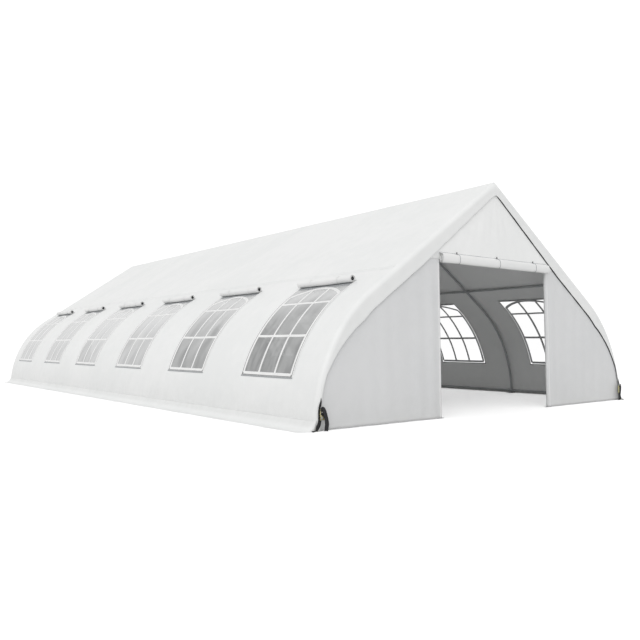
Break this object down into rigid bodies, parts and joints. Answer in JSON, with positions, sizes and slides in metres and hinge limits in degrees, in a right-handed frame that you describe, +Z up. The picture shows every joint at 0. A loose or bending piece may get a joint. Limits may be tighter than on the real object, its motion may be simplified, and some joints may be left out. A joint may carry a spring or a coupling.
{
  "type": "marquee tent",
  "caption": "Long white arch-sided party marquee: tube arches, fabric covers, clear barred windows with rolled covers, and an open end doorway.",
  "frame": {"origin": "on the ground at the middle of the plan", "axes": "+Z up, +Y along the ridge from the open front to the back, +X to the right when facing the back"},
  "size_m": [6.5, 12.2966, 3.05],
  "materials": {
    "frame_steel": "white-grey coated steel tube",
    "cover_fabric": "white coated woven sheet, slight sheen",
    "window_film": "clear flexible film, slightly hazy",
    "window_bar": "white welded strip",
    "webbing": "black woven strap",
    "ratchet_steel": "yellow plated steel"
  },
  "bodies": {
    "root": {"arch_1": "frame_steel", "arch_2": "frame_steel", "arch_3": "frame_steel", "arch_4": "frame_steel", "arch_5": "frame_steel", "arch_6": "frame_steel", "arch_7": "frame_steel", "ridge_purlin": "frame_steel", "eave_purlin_left": "frame_steel", "eave_purlin_right": "frame_steel", "base_rail_left": "frame_steel", "base_rail_right": "frame_steel", "front_door_frame": "frame_steel", "front_valance": "cover_fabric", "front_gable_panel": "cover_fabric", "front_door_roll": "cover_fabric", "front_panel_left": "cover_fabric", "corner_strap_front_left": "webbing", "front_panel_right": "cover_fabric", "corner_strap_front_right": "webbing", "back_door_frame": "frame_steel", "back_valance": "cover_fabric", "back_gable_panel": "cover_fabric", "back_door_roll": "cover_fabric", "back_panel_left": "cover_fabric", "corner_strap_back_left": "webbing", "back_panel_right": "cover_fabric", "corner_strap_back_right": "webbing", "roof_cover_left": "cover_fabric", "wall_cover_left": "cover_fabric", "ground_skirt_left": "cover_fabric", "window_film_left": "window_film", "window_roll_left_1": "cover_fabric", "window_roll_left_2": "cover_fabric", "window_roll_left_3": "cover_fabric", "window_roll_left_4": "cover_fabric", "window_roll_left_5": "cover_fabric", "window_roll_left_6": "cover_fabric", "roof_cover_right": "cover_fabric", "wall_cover_right": "cover_fabric", "ground_skirt_right": "cover_fabric", "window_film_right": "window_film", "window_roll_right_1": "cover_fabric", "window_roll_right_2": "cover_fabric", "window_roll_right_3": "cover_fabric", "window_roll_right_4": "cover_fabric", "window_roll_right_5": "cover_fabric", "window_roll_right_6": "cover_fabric"}
  },
  "joints": []
}
